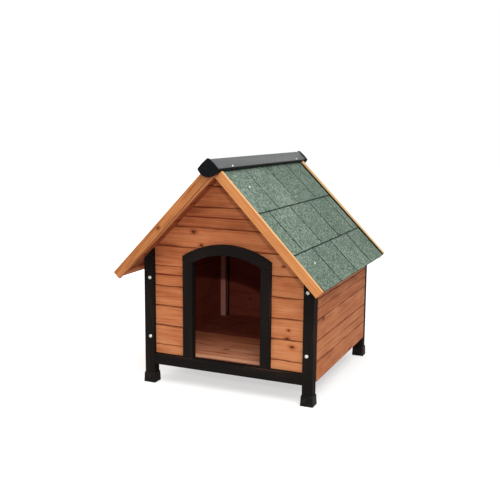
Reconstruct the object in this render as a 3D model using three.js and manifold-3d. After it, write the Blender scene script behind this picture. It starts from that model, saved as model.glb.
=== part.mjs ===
// Wooden dog house with a gable roof: four black posts in plastic foot caps, tongue-and-groove fir walls,
// an arched doorway, a felted roof with barge boards and a ridge cap, and a floor of two loose panels.
// Millimetres, +Z up. The doorway faces -Y, and +X is to the right of someone looking in through it.
// The origin is on the ground, under the middle of the whole house.

import * as THREE from "three";
import { mergeVertices } from "three/addons/utils/BufferGeometryUtils.js";
import Module from "manifold-3d";

const wasm = await Module();
wasm.setup();

// ---- Driving dimensions ----

const GAP = 0.3; // clearance between pieces that touch
const CUT_REACH = 50; // how far a cutting shape runs on past what it cuts
const ARC_SEGMENTS = 24;

const FRAME_WIDTH = 600; // over the outer faces of the posts
const FRAME_DEPTH = 627; // over the front and rear faces of the posts
const POST_WIDTH = 35;
const POST_DEPTH = 32;

const FOOT_HEIGHT = 34;
const FOOT_BASE = 4; // plastic under the post
const FOOT_RIM_OVERHANG = 2.5; // beyond the post at the cap's top edge
const FOOT_SOLE_OVERHANG = 4; // beyond the post on the ground

const RAIL_BOTTOM = 66;
const RAIL_TOP = 102;
const RAIL_THICKNESS = 24;
const RAIL_INSET = 0.5; // behind the posts' faces

const BOARD_THICKNESS = 12;
const BOARD_COVER = 67.8; // height that one course shows
const BOARD_CHAMFER = 2;
const TONGUE_THICKNESS = 4;
const TONGUE_HEIGHT = 5;
const END_WALL_INSET = 12.8; // front and rear boards behind the posts' faces
const END_WALL_FIRST_SEAM = 134.5; // top of the lowest course, above the ground
const SIDE_WALL_PROUD = 2; // side boards beyond the posts' outer faces
const SIDE_WALL_BOTTOM = 73.5;
const SIDE_WALL_FIRST_SEAM = 137;

const DOOR_HALF_WIDTH = 120.7; // clear half width of the doorway
const DOOR_TRIM_WIDTH = 35;
const DOOR_ARCH_CENTRE = 210; // height of the centre that the head's arcs share
const DOOR_ARCH_RADIUS = 247.5; // inner edge of the head
const DOOR_REBATE = 15; // how far the trim laps over the wall boards
const DOOR_SHOULDER = 426; // top of the jambs

const BATTEN = 22; // section of the corner, rafter and floor battens

const FLOOR_TOP = 103;
const FLOOR_THICKNESS = 12;
const FLOOR_END_GAP = 28; // from the posts' front or rear faces to the floor's edge
const FLOOR_SIDE_GAP = 2;
const FLOOR_BOARDS = 4; // in each of the two panels
const FLOOR_CLEAT_HEIGHT = 17;
const FLOOR_CLEAT_OFFSET = 180; // of each cleat from the middle line
const FLOOR_CLEAT_INSET = 10; // of its ends from the panel's edges

const ROOF_FRONT_OVERHANG = 97; // of the front barge boards' faces beyond the front posts'
const ROOF_REAR_OVERHANG = 13;
const ROOF_PITCH = Math.PI / 4;
const ROOF_APEX = 751; // where the two felt surfaces meet
const ROOF_SLOPE = 507.5; // from the apex to the eave
const DECK_THICKNESS = 12;
const DECK_SLOPE = 504;
const DECK_BOARD = 84; // width of one roof board
const VERGE_BATTEN_WIDTH = 18; // of the battens under the deck's front and eave edges
const VERGE_BATTEN_DEPTH = 10.4;
const FELT_THICKNESS = 3;
const FELT_LAP = 1.4; // step from one course of felt down to the next
const FELT_EAVE_DROP = 13.5; // how far it turns down over the ends of the roof boards
const FELT_COURSE_ENDS = [200.7, 367.1, ROOF_SLOPE]; // lower edges, down the slope from the apex
const BARGE_WIDTH = 29;
const BARGE_THICKNESS = 12;
const BARGE_SPAN = [35, 507]; // its square ends, down the slope from the apex
const BARGE_PROUD = { front: [8.5, -1], rear: [11, 7.5] }; // its top edge above the felt, at each end

const CAP_LENGTH = 800;
const CAP_HALF_WIDTH = 32;
const CAP_STAND_OFF = 14; // its outer faces above the felt
const CAP_WALL = 2.5;
const CAP_APEX_RADIUS = 5; // outside, where the angle is bent
const END_PLATE_THICKNESS = 3;
const END_PLATE_DROP = 56.5; // from the cap's apex to the bottom of the plate's curve
const END_PLATE_OVERHANG = 2.5; // of its two slopes beyond the cap's outer faces
const END_PLATE_HALF_WIDTH = 35.8;
const END_PLATE_BULGE = 1.6; // of each slope, in the middle
const END_PLATE_COLLAR = 10; // how far the plate plugs into the cap
const END_PLATE_RIM = 8; // from the plate's bottom up to the collar's
const COLLAR_HALF_WIDTH = 24;

const BOLT_HEIGHTS = [162, 364];
const BOLT_HEAD_RADIUS = 6;
const BOLT_HEAD_HEIGHT = 3.5;
const BOLT_HEAD_DOME = [[0.5, 0.08], [0.85, 0.35], [1, 0.75]]; // shares of the head's radius and height
const BOLT_SHANK_RADIUS = 3;
const BOLT_LENGTH = 52;
const BOLT_HOLE_RADIUS = 3.5;
const BOLT_SEGMENTS = 16;
const BOLT_HOLE_SEGMENTS = 12;

// ---- Places that follow from them ----

const FRONT = -275; // front faces of the front posts, with the ridge cap's middle over the origin
const REAR = FRONT + FRAME_DEPTH;
const MIDDLE = (FRONT + REAR) / 2;
const POST_OUTER = FRAME_WIDTH / 2;
const POST_INNER = POST_OUTER - POST_WIDTH;
const SIDE_WALL_OUTER = POST_OUTER + SIDE_WALL_PROUD;
const SIDE_WALL_INNER = SIDE_WALL_OUTER - BOARD_THICKNESS;
const BATTEN_OUTER = SIDE_WALL_INNER - GAP;
const BATTEN_INNER = BATTEN_OUTER - BATTEN;
const BOLT_X = (BATTEN_INNER + BATTEN_OUTER) / 2;
const END_WALL_HALF_WIDTH = POST_INNER - GAP;
const DECK_TOP = FELT_THICKNESS + GAP; // depths here are square to the slope, from the felt's surface
const DECK_BOTTOM = DECK_TOP + DECK_THICKNESS;
const CAP_APEX = ROOF_APEX + CAP_STAND_OFF * Math.SQRT2;
const DOOR_REBATE_X = DOOR_HALF_WIDTH + DOOR_TRIM_WIDTH - DOOR_REBATE;
const DOOR_REBATE_RADIUS = DOOR_ARCH_RADIUS + DOOR_TRIM_WIDTH - DOOR_REBATE;

// Height of the roof boards' underside over a place x, less the clearance that pieces below it keep.
const underRoof = (x) => ROOF_APEX - DECK_BOTTOM * Math.SQRT2 - 1.5 * GAP - Math.abs(x);

// ---- Finishes ----

function finish(color, roughness, metalness = 0) {
  return { color, roughness, metalness };
}

const STAINED_FIR = finish(0xbf7642, 0.6);
const PALE_FIR = finish(0xcf8c4e, 0.6);
const BLACK_PAINT = finish(0x232422, 0.55);
const BLACK_PLASTIC = finish(0x1b1b1c, 0.45);
const GREY_CAP = finish(0x5a5b5e, 0.4);
const GREEN_FELT = finish(0x788c7d, 0.95);
const ZINC = finish(0xc9cac6, 0.35, 0.9);

// ---- Shapes ----

function mesh(name, look, geometry) {
  const made = new THREE.Mesh(geometry, new THREE.MeshStandardMaterial(look));
  made.name = name;
  return made;
}

// A block between two corners, each given as [x, y, z].
function block(name, look, low, high) {
  const size = high.map((value, i) => value - low[i]);
  const made = mesh(name, look, new THREE.BoxGeometry(...size));
  made.position.set(...low.map((value, i) => value + size[i] / 2));
  return made;
}

function outline(points) {
  return new THREE.Shape(points.map(([a, b]) => new THREE.Vector2(a, b)));
}

const extruded = (shape, depth) =>
  new THREE.ExtrudeGeometry(shape, { depth, bevelEnabled: false, curveSegments: ARC_SEGMENTS });

// A shape drawn in x and z, seen from the front, and drawn out from yFrom to yTo.
function alongY(name, look, shape, yFrom, yTo) {
  const made = mesh(name, look, extruded(shape, yTo - yFrom));
  made.rotation.x = Math.PI / 2;
  made.position.y = yTo;
  return made;
}

// A shape drawn in y and z, seen from the right, and drawn out from xFrom to xTo.
function alongX(name, look, shape, xFrom, xTo) {
  const made = mesh(name, look, extruded(shape, xTo - xFrom));
  made.rotation.set(Math.PI / 2, Math.PI / 2, 0);
  made.position.x = xFrom;
  return made;
}

// A shape drawn in x and y, seen from above, and drawn out from zFrom to zTo.
function alongZ(name, look, shape, zFrom, zTo) {
  const made = mesh(name, look, extruded(shape, zTo - zFrom));
  made.position.z = zFrom;
  return made;
}

function solidOf(piece) {
  piece.updateMatrix();
  const geometry = piece.geometry.clone().applyMatrix4(piece.matrix);
  geometry.deleteAttribute("normal");
  geometry.deleteAttribute("uv");
  const merged = mergeVertices(geometry, 1e-3);
  const vertProperties = merged.attributes.position.array;
  const triVerts = new Uint32Array(merged.index.array);
  return new wasm.Manifold(new wasm.Mesh({ numProp: 3, vertProperties, triVerts }));
}

// The same piece with its geometry replaced by a solid that is already in place.
function reshaped(piece, solid) {
  const { vertProperties, triVerts } = solid.getMesh();
  const geometry = new THREE.BufferGeometry();
  geometry.setAttribute("position", new THREE.BufferAttribute(vertProperties, 3));
  geometry.setIndex(new THREE.BufferAttribute(triVerts, 1));
  geometry.computeVertexNormals();
  const made = new THREE.Mesh(geometry, piece.material);
  made.name = piece.name;
  return made;
}

const cut = (piece, ...cutters) =>
  reshaped(piece, cutters.reduce((solid, cutter) => solid.subtract(solidOf(cutter)), solidOf(piece)));

const trimmedTo = (piece, space) => reshaped(piece, solidOf(piece).intersect(solidOf(space)));

const joined = (piece, ...others) =>
  reshaped(piece, others.reduce((solid, other) => solid.add(solidOf(other)), solidOf(piece)));

const sideName = (side) => (side > 0 ? "right" : "left");
const BOTH_SIDES = [-1, 1];
const BOTH_ENDS = [
  { end: "front", face: FRONT, inward: 1 },
  { end: "rear", face: REAR, inward: -1 },
];

// The span from one depth behind an end's face to another, lowest y first.
function spanBehind({ face, inward }, from, to) {
  const places = [face + inward * from, face + inward * to];
  return places.sort((a, b) => a - b);
}

const dogHouse = new THREE.Group();

// ---- Posts and foot caps ----

// A post's top is sawn at the roof's pitch, and the bolts pass through the front ones from the front.
function post(side, place) {
  const [yFrom, yTo] = spanBehind(place, 0, POST_DEPTH);
  const shape = outline([
    [side * POST_OUTER, FOOT_BASE + GAP],
    [side * POST_OUTER, underRoof(POST_OUTER)],
    [side * POST_INNER, underRoof(POST_INNER)],
    [side * POST_INNER, FOOT_BASE + GAP],
  ]);
  const whole = alongY(`${place.end}_${sideName(side)}_post`, BLACK_PAINT, shape, yFrom, yTo);
  return place.end === "front" ? cut(whole, ...boltHoles(side)) : whole;
}

function boltHoles(side) {
  const length = 2 * (POST_DEPTH + BATTEN + CUT_REACH);
  const bore = new THREE.CylinderGeometry(BOLT_HOLE_RADIUS, BOLT_HOLE_RADIUS, length, BOLT_HOLE_SEGMENTS);
  return BOLT_HEIGHTS.map((height) => {
    const hole = mesh("", ZINC, bore);
    hole.position.set(side * BOLT_X, FRONT, height);
    return hole;
  });
}

// A moulded cup, a little wider at its sole than at its rim.
function footCap(side, place) {
  const middleX = side * (POST_OUTER - POST_WIDTH / 2);
  const middleY = place.face + (place.inward * POST_DEPTH) / 2;
  const taper = (middle, half) =>
    outline([
      [middle - half - FOOT_SOLE_OVERHANG, 0],
      [middle + half + FOOT_SOLE_OVERHANG, 0],
      [middle + half + FOOT_RIM_OVERHANG, FOOT_HEIGHT],
      [middle - half - FOOT_RIM_OVERHANG, FOOT_HEIGHT],
    ]);
  const reach = POST_WIDTH;
  const name = `${place.end}_${sideName(side)}_foot_cap`;
  const widthTaper = taper(middleX, POST_WIDTH / 2);
  const depthTaper = taper(middleY, POST_DEPTH / 2);
  const seenFromFront = alongY(name, BLACK_PLASTIC, widthTaper, middleY - reach, middleY + reach);
  const seenFromSide = alongX(name, BLACK_PLASTIC, depthTaper, middleX - reach, middleX + reach);
  const halfPocket = [POST_WIDTH / 2 + GAP, POST_DEPTH / 2 + GAP];
  const pocket = block(
    "",
    BLACK_PLASTIC,
    [middleX - halfPocket[0], middleY - halfPocket[1], FOOT_BASE],
    [middleX + halfPocket[0], middleY + halfPocket[1], FOOT_HEIGHT + GAP],
  );
  return cut(trimmedTo(seenFromFront, seenFromSide), pocket);
}

for (const place of BOTH_ENDS) {
  for (const side of BOTH_SIDES) {
    dogHouse.add(post(side, place), footCap(side, place));
  }
}

// ---- Bottom rails ----

for (const place of BOTH_ENDS) {
  const [yFrom, yTo] = spanBehind(place, RAIL_INSET, RAIL_INSET + RAIL_THICKNESS);
  const low = [-END_WALL_HALF_WIDTH, yFrom, RAIL_BOTTOM];
  const high = [END_WALL_HALF_WIDTH, yTo, RAIL_TOP];
  dogHouse.add(block(`${place.end}_bottom_rail`, BLACK_PAINT, low, high));
}

// ---- Door frame: two jambs and an arched head, rebated behind for the wall boards ----

const TRIM_FACE = FRONT + RAIL_INSET;
const TRIM_BACK = FRONT + END_WALL_INSET - 2 * GAP; // back of the part that laps over the boards
const FRAME_BACK = FRONT + END_WALL_INSET + BOARD_THICKNESS;

for (const side of BOTH_SIDES) {
  const shape = outline([
    [side * DOOR_HALF_WIDTH, TRIM_FACE],
    [side * (DOOR_HALF_WIDTH + DOOR_TRIM_WIDTH), TRIM_FACE],
    [side * (DOOR_HALF_WIDTH + DOOR_TRIM_WIDTH), TRIM_BACK],
    [side * DOOR_REBATE_X, TRIM_BACK],
    [side * DOOR_REBATE_X, FRAME_BACK],
    [side * DOOR_HALF_WIDTH, FRAME_BACK],
  ]);
  const name = `door_${sideName(side)}_jamb`;
  dogHouse.add(alongZ(name, BLACK_PAINT, shape, RAIL_TOP + GAP, DOOR_SHOULDER - GAP));
}

// The space under an arc about the arch's centre, above a height and between two upright sides.
function underArc(radius, halfWidth, bottom) {
  const reach = Math.acos(halfWidth / radius);
  const shape = new THREE.Shape();
  shape.moveTo(-halfWidth, bottom);
  shape.lineTo(halfWidth, bottom);
  shape.absarc(0, DOOR_ARCH_CENTRE, radius, reach, Math.PI - reach, false);
  shape.closePath();
  return shape;
}

const outerRadius = DOOR_ARCH_RADIUS + DOOR_TRIM_WIDTH;
const outerHalfWidth = DOOR_HALF_WIDTH + DOOR_TRIM_WIDTH;
const headLap = alongY(
  "door_arched_head",
  BLACK_PAINT,
  underArc(outerRadius, outerHalfWidth, DOOR_SHOULDER),
  TRIM_FACE,
  TRIM_BACK,
);
const headBody = alongY(
  "",
  BLACK_PAINT,
  underArc(DOOR_REBATE_RADIUS, DOOR_REBATE_X, DOOR_SHOULDER),
  TRIM_FACE,
  FRAME_BACK,
);
const archSpace = alongY(
  "",
  BLACK_PAINT,
  underArc(DOOR_ARCH_RADIUS, DOOR_HALF_WIDTH, 0),
  FRONT - CUT_REACH,
  FRONT + CUT_REACH,
);
dogHouse.add(cut(joined(headLap, headBody), archSpace));

// ---- Front wall: courses of separate boards, those beside the doorway in pairs ----

const seamHeights = (firstSeam, top) => {
  const heights = [];
  for (let height = firstSeam; height < top; height += BOARD_COVER) heights.push(height);
  return heights;
};

const GABLE_TOP = underRoof(0);
const endWallSeams = seamHeights(END_WALL_FIRST_SEAM, GABLE_TOP);

// Section of one board: front arrises chamfered, a tongue above, and a groove below unless it is lowest.
function boardSection(bottom, top, isLowest, isHighest) {
  const face = FRONT + END_WALL_INSET;
  const back = face + BOARD_THICKNESS;
  const core = face + BOARD_THICKNESS / 2;
  const tongue = TONGUE_THICKNESS / 2;
  const groove = tongue + GAP;
  const grooveTop = bottom + TONGUE_HEIGHT + 2 * GAP;
  const below = isLowest
    ? []
    : [
        [core + groove, bottom],
        [core + groove, grooveTop],
        [core - groove, grooveTop],
        [core - groove, bottom],
      ];
  const above = isHighest
    ? []
    : [
        [core - tongue, top],
        [core - tongue, top + TONGUE_HEIGHT],
        [core + tongue, top + TONGUE_HEIGHT],
        [core + tongue, top],
      ];
  return outline([
    [back, bottom],
    ...below,
    [face + BOARD_CHAMFER, bottom],
    [face, bottom + BOARD_CHAMFER],
    [face, top - BOARD_CHAMFER],
    [face + BOARD_CHAMFER, top],
    ...above,
    [back, top],
  ]);
}

// The face of an end wall, from the rail up to the roof boards.
const endWallFace = outline([
  [-END_WALL_HALF_WIDTH, RAIL_TOP + GAP],
  [END_WALL_HALF_WIDTH, RAIL_TOP + GAP],
  [END_WALL_HALF_WIDTH, underRoof(END_WALL_HALF_WIDTH)],
  [0, GABLE_TOP],
  [-END_WALL_HALF_WIDTH, underRoof(END_WALL_HALF_WIDTH)],
]);
const frontWallSpace = alongY("", STAINED_FIR, endWallFace, FRONT, FRONT + CUT_REACH);
const boardOpening = alongY(
  "",
  STAINED_FIR,
  underArc(DOOR_REBATE_RADIUS + GAP, DOOR_REBATE_X + GAP, 0),
  FRONT,
  FRONT + CUT_REACH,
);

const courseEdges = [RAIL_TOP + GAP, ...endWallSeams, GABLE_TOP];
const openingTop = DOOR_ARCH_CENTRE + DOOR_REBATE_RADIUS;
for (let course = 0; course < courseEdges.length - 1; course += 1) {
  const isLowest = course === 0;
  const isHighest = course === courseEdges.length - 2;
  const bottom = courseEdges[course];
  const top = courseEdges[course + 1] - (isHighest ? 0 : GAP);
  const section = boardSection(bottom, top, isLowest, isHighest);
  const isSplit = courseEdges[course + 1] < openingTop;
  const spans = isSplit
    ? [
        { label: "_left", xFrom: -END_WALL_HALF_WIDTH, xTo: 0 },
        { label: "_right", xFrom: 0, xTo: END_WALL_HALF_WIDTH },
      ]
    : [{ label: "", xFrom: -END_WALL_HALF_WIDTH, xTo: END_WALL_HALF_WIDTH }];
  for (const { label, xFrom, xTo } of spans) {
    const board = alongX(`front_board_${course + 1}${label}`, STAINED_FIR, section, xFrom, xTo);
    dogHouse.add(cut(trimmedTo(board, frontWallSpace), boardOpening));
  }
}

// ---- Rear wall: the same courses, nailed together as one panel ----

// A small V-shaped groove across a wall's outer face, drawn as a bar turned onto its corner.
function groove(lengthAlongX, lengthAlongY, x, y, z) {
  const width = BOARD_CHAMFER * Math.SQRT2;
  const size = lengthAlongX ? [lengthAlongX, width, width] : [width, lengthAlongY, width];
  const bar = mesh("", STAINED_FIR, new THREE.BoxGeometry(...size));
  bar.rotation[lengthAlongX ? "x" : "y"] = Math.PI / 4;
  bar.position.set(x, y, z);
  return bar;
}

const rearFace = REAR - END_WALL_INSET;
const rearGrooves = endWallSeams.map((height) => groove(FRAME_WIDTH, 0, 0, rearFace, height));
const rearWall = alongY("rear_wall_boards", STAINED_FIR, endWallFace, rearFace - BOARD_THICKNESS, rearFace);
dogHouse.add(cut(rearWall, ...rearGrooves));

// ---- Side walls, with the battens that the end frames bolt to and the ledgers that carry the floor ----

for (const side of BOTH_SIDES) {
  const shape = outline([
    [side * SIDE_WALL_INNER, SIDE_WALL_BOTTOM],
    [side * SIDE_WALL_OUTER, SIDE_WALL_BOTTOM],
    [side * SIDE_WALL_OUTER, underRoof(SIDE_WALL_OUTER)],
    [side * SIDE_WALL_INNER, underRoof(SIDE_WALL_INNER)],
  ]);
  const yFrom = FRONT + POST_DEPTH + GAP;
  const yTo = REAR - POST_DEPTH - GAP;
  const wall = alongY(`${sideName(side)}_wall_boards`, STAINED_FIR, shape, yFrom, yTo);
  const seams = seamHeights(SIDE_WALL_FIRST_SEAM, underRoof(SIDE_WALL_OUTER) - BOARD_CHAMFER);
  dogHouse.add(
    cut(wall, ...seams.map((height) => groove(0, FRAME_DEPTH, side * SIDE_WALL_OUTER, MIDDLE, height))),
  );
}

for (const place of BOTH_ENDS) {
  for (const side of BOTH_SIDES) {
    const shape = outline([
      [side * BATTEN_INNER, SIDE_WALL_BOTTOM],
      [side * BATTEN_OUTER, SIDE_WALL_BOTTOM],
      [side * BATTEN_OUTER, underRoof(BATTEN_OUTER)],
      [side * BATTEN_INNER, underRoof(BATTEN_INNER)],
    ]);
    const [yFrom, yTo] = spanBehind(place, POST_DEPTH + GAP, POST_DEPTH + GAP + BATTEN);
    const batten = alongY(`${place.end}_${sideName(side)}_corner_batten`, STAINED_FIR, shape, yFrom, yTo);
    dogHouse.add(place.end === "front" ? cut(batten, ...boltHoles(side)) : batten);
  }
}

const ledgerTop = FLOOR_TOP - FLOOR_THICKNESS - GAP;
const ledgerEnd = POST_DEPTH + BATTEN + 2 * GAP;
for (const side of BOTH_SIDES) {
  const [xFrom, xTo] = [side * BATTEN_INNER, side * BATTEN_OUTER].sort((a, b) => a - b);
  const low = [xFrom, FRONT + ledgerEnd, SIDE_WALL_BOTTOM];
  const high = [xTo, REAR - ledgerEnd, ledgerTop];
  dogHouse.add(block(`${sideName(side)}_floor_ledger`, STAINED_FIR, low, high));
}

// ---- Floor: two panels of boards on cleats, notched round the corner battens, loose on the ledgers ----

for (const place of BOTH_ENDS) {
  const name = `${place.end}_floor_panel`;
  const halfWidth = SIDE_WALL_INNER - FLOOR_SIDE_GAP;
  const middleGap = FRAME_DEPTH / 2 - FLOOR_SIDE_GAP / 2;
  const [yFrom, yTo] = spanBehind(place, FLOOR_END_GAP, middleGap);
  const low = [-halfWidth, yFrom, FLOOR_TOP - FLOOR_THICKNESS];
  const panel = block(name, STAINED_FIR, low, [halfWidth, yTo, FLOOR_TOP]);
  const cleats = BOTH_SIDES.map((side) => {
    const [from, to] = spanBehind(place, FLOOR_END_GAP + FLOOR_CLEAT_INSET, middleGap - FLOOR_CLEAT_INSET);
    const x = side * FLOOR_CLEAT_OFFSET;
    const bottom = FLOOR_TOP - FLOOR_THICKNESS - FLOOR_CLEAT_HEIGHT;
    const top = FLOOR_TOP - FLOOR_THICKNESS / 2;
    return block("", STAINED_FIR, [x - BATTEN / 2, from, bottom], [x + BATTEN / 2, to, top]);
  });
  const notches = BOTH_SIDES.map((side) => {
    const [from, to] = spanBehind(place, 0, ledgerEnd + FLOOR_SIDE_GAP);
    const [xFrom, xTo] = [side * (POST_INNER - FLOOR_SIDE_GAP), side * FRAME_WIDTH].sort((a, b) => a - b);
    return block("", STAINED_FIR, [xFrom, from, 0], [xTo, to, 2 * FLOOR_TOP]);
  });
  const boardWidth = (yTo - yFrom) / FLOOR_BOARDS;
  const grooves = [];
  for (let seam = 1; seam < FLOOR_BOARDS; seam += 1) {
    grooves.push(groove(FRAME_WIDTH, 0, 0, yFrom + seam * boardWidth, FLOOR_TOP));
  }
  dogHouse.add(cut(joined(panel, ...cleats), ...notches, ...grooves));
}

// ---- Roof: each slope is a group turned to the pitch about the apex, with x running down the slope ----

const ROOF_FRONT = FRONT - ROOF_FRONT_OVERHANG; // outer faces of the barge boards
const ROOF_REAR = REAR + ROOF_REAR_OVERHANG;
const BARGE_INNER_FRONT = ROOF_FRONT + BARGE_THICKNESS + GAP;
const BARGE_INNER_REAR = ROOF_REAR - BARGE_THICKNESS - GAP;

for (const side of BOTH_SIDES) {
  const slope = new THREE.Group();
  slope.position.z = ROOF_APEX;
  slope.rotation.y = side * ROOF_PITCH;

  // Points are given as the distance down the slope and the depth under the felt's surface.
  const onSlope = (points) => outline(points.map(([down, depth]) => [side * down, -depth]));
  const ridgeGap = GAP;

  const courseStarts = [0, ...FELT_COURSE_ENDS.slice(0, -1)];
  const feltTop = courseStarts.flatMap((start, i) => [
    [start + (i === 0 ? FELT_LAP + ridgeGap : 0), FELT_LAP],
    [FELT_COURSE_ENDS[i], 0],
  ]);
  const feltShape = onSlope([
    ...feltTop,
    [ROOF_SLOPE, FELT_EAVE_DROP],
    [ROOF_SLOPE - FELT_THICKNESS, FELT_EAVE_DROP],
    [ROOF_SLOPE - FELT_THICKNESS, FELT_THICKNESS],
    [FELT_THICKNESS + ridgeGap, FELT_THICKNESS],
  ]);
  slope.add(
    alongY(`${sideName(side)}_roof_felt`, GREEN_FELT, feltShape, BARGE_INNER_FRONT, BARGE_INNER_REAR),
  );

  const deckShape = onSlope([
    [DECK_TOP + ridgeGap, DECK_TOP],
    [DECK_SLOPE, DECK_TOP],
    [DECK_SLOPE, DECK_BOTTOM],
    ...deckSeams(),
    [DECK_BOTTOM + ridgeGap, DECK_BOTTOM],
  ]);
  const deckName = `${sideName(side)}_roof_boards`;
  const deck = alongY(deckName, STAINED_FIR, deckShape, BARGE_INNER_FRONT, BARGE_INNER_REAR);

  // Battens nailed up under the deck: one along the eave, and one up the front edge behind the barge board.
  const sunk = DECK_BOTTOM - DECK_THICKNESS / 2;
  const battenBottom = DECK_BOTTOM + VERGE_BATTEN_DEPTH;
  const battenStop = DECK_SLOPE - VERGE_BATTEN_WIDTH;
  const eaveShape = onSlope([
    [battenStop, sunk],
    [DECK_SLOPE, sunk],
    [DECK_SLOPE, battenBottom],
    [battenStop, battenBottom],
  ]);
  const vergeShape = onSlope([
    [sunk + ridgeGap, sunk],
    [battenStop + 1, sunk],
    [battenStop + 1, battenBottom],
    [battenBottom + ridgeGap, battenBottom],
  ]);
  const eaveBatten = alongY("", STAINED_FIR, eaveShape, BARGE_INNER_FRONT, BARGE_INNER_REAR);
  const vergeBatten = alongY(
    "",
    STAINED_FIR,
    vergeShape,
    BARGE_INNER_FRONT,
    BARGE_INNER_FRONT + VERGE_BATTEN_WIDTH,
  );
  slope.add(joined(deck, eaveBatten, vergeBatten));

  // Barge boards, nailed on a little proud of the felt at the ridge and less so at the eave.
  for (const [end, outer, inward] of [["front", ROOF_FRONT, 1], ["rear", ROOF_REAR, -1]]) {
    const [yFrom, yTo] = [outer, outer + inward * BARGE_THICKNESS].sort((a, b) => a - b);
    const [upper, lower] = BARGE_SPAN.map((down, i) => new THREE.Vector2(down, -BARGE_PROUD[end][i]));
    const across = lower.clone().sub(upper).normalize().multiplyScalar(BARGE_WIDTH);
    across.set(-across.y, across.x);
    const corners = [upper, lower, lower.clone().add(across), upper.clone().add(across)];
    const bargeShape = onSlope(corners.map(({ x, y }) => [x, y]));
    slope.add(alongY(`${end}_${sideName(side)}_barge_board`, PALE_FIR, bargeShape, yFrom, yTo));
  }

  // Rafter battens behind the gable boards, plumb cut at the ridge and beside the posts.
  const rafterTop = DECK_BOTTOM + GAP;
  const rafterBottom = rafterTop + BATTEN;
  const rafterFoot = (END_WALL_HALF_WIDTH - FLOOR_SIDE_GAP) * Math.SQRT2;
  const rafterShape = onSlope([
    [rafterTop + ridgeGap, rafterTop],
    [rafterFoot + rafterTop, rafterTop],
    [rafterFoot + rafterBottom, rafterBottom],
    [rafterBottom + ridgeGap, rafterBottom],
  ]);
  for (const place of BOTH_ENDS) {
    const behindBoards = END_WALL_INSET + BOARD_THICKNESS + GAP;
    const [yFrom, yTo] = spanBehind(place, behindBoards, behindBoards + BATTEN);
    slope.add(alongY(`${place.end}_${sideName(side)}_rafter`, STAINED_FIR, rafterShape, yFrom, yTo));
  }
  dogHouse.add(slope);
}

// V-shaped seams in the underside of a slope's boards, from the eave up.
function deckSeams() {
  const points = [];
  for (let down = DECK_SLOPE - DECK_BOARD; down > DECK_BOARD / 2; down -= DECK_BOARD) {
    points.push([down + BOARD_CHAMFER, DECK_BOTTOM]);
    points.push([down, DECK_BOTTOM - BOARD_CHAMFER]);
    points.push([down - BOARD_CHAMFER, DECK_BOTTOM]);
  }
  return points;
}

// ---- Ridge cap, and the plates that close its ends ----

// A point of the right slope from its distance down the slope and its height above the felt's surface.
const aboveSlope = (down, height) => [
  (down + height) / Math.SQRT2,
  ROOF_APEX + (height - down) / Math.SQRT2,
];
const capEdge = CAP_HALF_WIDTH * Math.SQRT2 - CAP_STAND_OFF;
const capInside = CAP_STAND_OFF - CAP_WALL;
const capFoot = [
  aboveSlope(capEdge, CAP_STAND_OFF),
  aboveSlope(capEdge, GAP),
  aboveSlope(capEdge - CAP_WALL, GAP),
  aboveSlope(capEdge - CAP_WALL, capInside),
];
const capBend = CAP_APEX - CAP_APEX_RADIUS * Math.SQRT2; // height of the centre that its two arcs share
const capShape = new THREE.Shape();
capShape.moveTo(...capFoot[0]);
capShape.absarc(0, capBend, CAP_APEX_RADIUS, Math.PI / 4, (3 * Math.PI) / 4, false);
for (const [x, z] of capFoot) capShape.lineTo(-x, z);
capShape.absarc(0, capBend, CAP_APEX_RADIUS - CAP_WALL, (3 * Math.PI) / 4, Math.PI / 4, true);
for (const [x, z] of capFoot.toReversed()) capShape.lineTo(x, z);
const capEndY = CAP_LENGTH / 2 - END_PLATE_THICKNESS;
dogHouse.add(alongY("ridge_cap", GREY_CAP, capShape, -capEndY + GAP, capEndY - GAP));

// A plate's outline, inside the cap's outer faces by a margin: two slopes from the rounded apex down to the
// corners, which may bulge, and one arc below from corner to corner.
function endPlateShape(margin, halfWidth, bottom, bulge) {
  const apex = CAP_APEX - margin * Math.SQRT2;
  const sag = apex - halfWidth - bottom;
  const radius = (halfWidth ** 2 + sag ** 2) / (2 * sag);
  const centre = bottom + radius;
  const reach = Math.asin(halfWidth / radius);
  const shape = new THREE.Shape();
  const bendX = (CAP_APEX_RADIUS - margin) / Math.SQRT2;
  const pull = Math.SQRT2 * bulge;
  const midX = (bendX + halfWidth) / 2 + pull;
  const midZ = apex - (bendX + halfWidth) / 2 + pull;
  shape.absarc(0, capBend, CAP_APEX_RADIUS - margin, Math.PI / 4, (3 * Math.PI) / 4, false);
  shape.quadraticCurveTo(-midX, midZ, -halfWidth, apex - halfWidth);
  shape.absarc(0, centre, radius, -Math.PI / 2 - reach, -Math.PI / 2 + reach, false);
  shape.quadraticCurveTo(midX, midZ, bendX, apex - bendX);
  return shape;
}

const plateBottom = CAP_APEX - END_PLATE_DROP;
for (const [end, name] of [
  [-1, "front_ridge_end_plate"],
  [1, "rear_ridge_end_plate"],
]) {
  const outer = (end * CAP_LENGTH) / 2;
  const inner = end * capEndY;
  const plateSpan = [outer, inner].sort((a, b) => a - b);
  const collarSpan = [outer, inner - end * END_PLATE_COLLAR].sort((a, b) => a - b);
  const plate = alongY(
    name,
    BLACK_PLASTIC,
    endPlateShape(-END_PLATE_OVERHANG, END_PLATE_HALF_WIDTH, plateBottom, END_PLATE_BULGE),
    ...plateSpan,
  );
  const collar = alongY(
    "",
    BLACK_PLASTIC,
    endPlateShape(CAP_WALL + GAP, COLLAR_HALF_WIDTH, plateBottom + END_PLATE_RIM, 0),
    ...collarSpan,
  );
  dogHouse.add(joined(plate, collar));
}

// ---- Corner bolts: pan heads on the front posts, shanks through post and batten ----

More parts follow.
